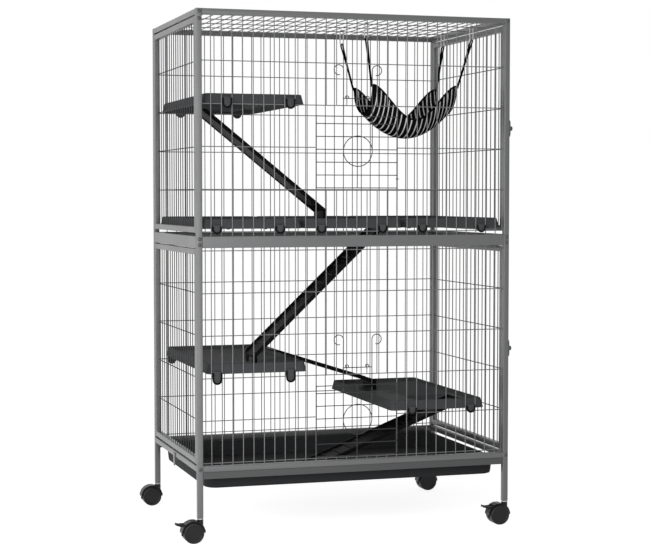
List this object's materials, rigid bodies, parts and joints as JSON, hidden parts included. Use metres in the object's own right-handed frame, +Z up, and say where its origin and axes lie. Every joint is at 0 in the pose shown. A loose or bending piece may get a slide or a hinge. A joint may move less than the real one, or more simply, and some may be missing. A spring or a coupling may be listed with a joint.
{
  "type": "rodent_cage",
  "caption": "Tall two-storey wire cage for small animals on casters, with hooked plastic shelves and ramps, a striped hammock, small front doors, hinged side doors and a pull-out tray",
  "frame": {"origin": "middle of the bounding box's bottom, on the floor under the wheels", "axes": "+X right along the width, +Y to the back, +Z up; the front with the small doors faces -Y"},
  "size_m": [0.8624, 0.5506, 1.268],
  "materials": {
    "powder_coat": "satin",
    "mesh_wire": "satin",
    "screw_steel": "satin",
    "shelf_plastic": "matte",
    "ramp_plastic": "matte",
    "tray_plastic": "satin",
    "button_plastic": "gloss",
    "hammock_cloth": "matte",
    "strap_webbing": "matte",
    "white_plastic": "gloss",
    "caster_plastic": "satin",
    "axle_steel": "satin"
  },
  "bodies": {
    "frame": {"front_left_post": "powder_coat", "front_right_post": "powder_coat", "back_left_post": "powder_coat", "back_right_post": "powder_coat", "front_top_rail": "powder_coat", "back_top_rail": "powder_coat", "front_mid_rail": "powder_coat", "back_mid_rail": "powder_coat", "front_bottom_rail": "powder_coat", "back_bottom_rail": "powder_coat", "side_rails": "powder_coat", "side_mid_rails": "powder_coat", "roof_mesh": "mesh_wire", "upper_front_mesh": "mesh_wire", "lower_front_mesh": "mesh_wire", "upper_back_mesh": "mesh_wire", "lower_back_mesh": "mesh_wire", "upper_left_panel": "powder_coat", "lower_left_panel": "powder_coat", "side_door_hinge_pins": "screw_steel", "frame_screws": "screw_steel", "tray_runners": "powder_coat", "top_left_shelf": "shelf_plastic", "mid_left_shelf": "shelf_plastic", "mid_centre_shelf": "shelf_plastic", "mid_right_shelf": "shelf_plastic", "lower_left_shelf": "shelf_plastic", "lower_right_shelf": "shelf_plastic", "hammock_bed": "hammock_cloth", "hammock_rings": "white_plastic", "hammock_straps": "strap_webbing", "caster_sleeves": "white_plastic"},
    "tray": {"tray": "tray_plastic", "tray_pull_tab": "powder_coat"},
    "upper_side_door": {"upper_side_door": "powder_coat"},
    "lower_side_door": {"lower_side_door": "powder_coat"},
    "upper_turn_button": {"upper_turn_button": "button_plastic"},
    "lower_turn_button": {"lower_turn_button": "button_plastic"},
    "upper_front_door": {"upper_front_door": "mesh_wire"},
    "lower_front_door": {"lower_front_door": "mesh_wire"},
    "upper_door_latch": {"upper_door_latch": "mesh_wire"},
    "lower_door_latch": {"lower_door_latch": "mesh_wire"},
    "top_ramp": {"top_ramp": "ramp_plastic"},
    "mid_ramp": {"mid_ramp": "ramp_plastic"},
    "cross_ramp": {"cross_ramp": "ramp_plastic"},
    "tray_ramp": {"tray_ramp": "ramp_plastic"},
    "front_left_caster": {"front_left_caster_hood": "caster_plastic", "front_left_axle": "axle_steel"},
    "front_left_wheel_pair": {"front_left_wheels": "caster_plastic"},
    "front_right_caster": {"front_right_caster_hood": "caster_plastic", "front_right_axle": "axle_steel"},
    "front_right_wheel_pair": {"front_right_wheels": "caster_plastic"},
    "back_left_caster": {"back_left_caster_hood": "caster_plastic", "back_left_axle": "axle_steel"},
    "back_left_wheel_pair": {"back_left_wheels": "caster_plastic"},
    "back_right_caster": {"back_right_caster_hood": "caster_plastic", "back_right_axle": "axle_steel"},
    "back_right_wheel_pair": {"back_right_wheels": "caster_plastic"},
    "front_left_brake": {"front_left_brake_lever": "caster_plastic"},
    "front_right_brake": {"front_right_brake_lever": "caster_plastic"}
  },
  "joints": [
    {"name": "tray_pull", "type": "slide", "parent": "frame", "child": "tray", "axis": [-1, 0, 0], "range_m": [0, 0.4]},
    {"name": "upper_side_door_swing", "type": "hinge", "parent": "frame", "child": "upper_side_door", "pos_m": [0.41567, 0.2382, 0.99474], "axis": [0, 0, 1], "range_deg": [0, 110]},
    {"name": "upper_turn_button_turn", "type": "hinge", "parent": "frame", "child": "upper_turn_button", "pos_m": [0.42267, -0.2555, 0.99474], "axis": [1, 0, 0], "range_deg": [0, 90]},
    {"name": "lower_side_door_swing", "type": "hinge", "parent": "frame", "child": "lower_side_door", "pos_m": [0.41567, 0.2382, 0.44399], "axis": [0, 0, 1], "range_deg": [0, 110]},
    {"name": "lower_turn_button_turn", "type": "hinge", "parent": "frame", "child": "lower_turn_button", "pos_m": [0.42267, -0.2555, 0.44399], "axis": [1, 0, 0], "range_deg": [0, 90]},
    {"name": "upper_front_door_swing", "type": "hinge", "parent": "frame", "child": "upper_front_door", "pos_m": [0.12667, -0.2569, 0.94358], "axis": [0, 0, 1], "range_deg": [0, 120]},
    {"name": "upper_latch_slide", "type": "slide", "parent": "frame", "child": "upper_door_latch", "axis": [0, 0, 1], "range_m": [-0.005, 0.078]},
    {"name": "lower_front_door_swing", "type": "hinge", "parent": "frame", "child": "lower_front_door", "pos_m": [0.12667, -0.2569, 0.2896], "axis": [0, 0, 1], "range_deg": [0, 120]},
    {"name": "lower_latch_slide", "type": "slide", "parent": "frame", "child": "lower_door_latch", "axis": [0, 0, 1], "range_m": [-0.005, 0.078]},
    {"name": "top_ramp_lift", "type": "hinge", "parent": "frame", "child": "top_ramp", "pos_m": [-0.31202, 0.10002, 1.06148], "axis": [0, -1, 0], "range_deg": [0, 25]},
    {"name": "mid_ramp_lift", "type": "hinge", "parent": "frame", "child": "mid_ramp", "pos_m": [0.132, -0.15006, 0.76328], "axis": [0, 1, 0], "range_deg": [0, 25]},
    {"name": "cross_ramp_lift", "type": "hinge", "parent": "frame", "child": "cross_ramp", "pos_m": [-0.11267, 0.10002, 0.4253], "axis": [0, -1, 0], "range_deg": [0, 25]},
    {"name": "tray_ramp_lift", "type": "hinge", "parent": "frame", "child": "tray_ramp", "pos_m": [0.33482, -0.15006, 0.3113], "axis": [0, 1, 0], "range_deg": [0, 10]},
    {"name": "front_left_swivel", "type": "hinge", "parent": "frame", "child": "front_left_caster", "pos_m": [-0.37033, -0.2555, 0.058], "axis": [0, 0, 1], "continuous": true},
    {"name": "front_left_wheel_spin", "type": "hinge", "parent": "front_left_caster", "child": "front_left_wheel_pair", "pos_m": [-0.38833, -0.2555, 0.025], "axis": [0, 1, 0], "continuous": true},
    {"name": "front_right_swivel", "type": "hinge", "parent": "frame", "child": "front_right_caster", "pos_m": [0.41567, -0.2555, 0.058], "axis": [0, 0, 1], "continuous": true},
    {"name": "front_right_wheel_spin", "type": "hinge", "parent": "front_right_caster", "child": "front_right_wheel_pair", "pos_m": [0.39767, -0.2555, 0.025], "axis": [0, 1, 0], "continuous": true},
    {"name": "back_left_swivel", "type": "hinge", "parent": "frame", "child": "back_left_caster", "pos_m": [-0.37033, 0.2555, 0.058], "axis": [0, 0, 1], "continuous": true},
    {"name": "back_left_wheel_spin", "type": "hinge", "parent": "back_left_caster", "child": "back_left_wheel_pair", "pos_m": [-0.38833, 0.2555, 0.025], "axis": [0, 1, 0], "continuous": true},
    {"name": "back_right_swivel", "type": "hinge", "parent": "frame", "child": "back_right_caster", "pos_m": [0.41567, 0.2555, 0.058], "axis": [0, 0, 1], "continuous": true},
    {"name": "back_right_wheel_spin", "type": "hinge", "parent": "back_right_caster", "child": "back_right_wheel_pair", "pos_m": [0.39767, 0.2555, 0.025], "axis": [0, 1, 0], "continuous": true},
    {"name": "front_left_brake_press", "type": "hinge", "parent": "front_left_caster", "child": "front_left_brake", "pos_m": [-0.41993, -0.2555, 0.044], "axis": [0, -1, 0], "range_deg": [0, 15]},
    {"name": "front_right_brake_press", "type": "hinge", "parent": "front_right_caster", "child": "front_right_brake", "pos_m": [0.36607, -0.2555, 0.044], "axis": [0, -1, 0], "range_deg": [0, 15]}
  ]
}
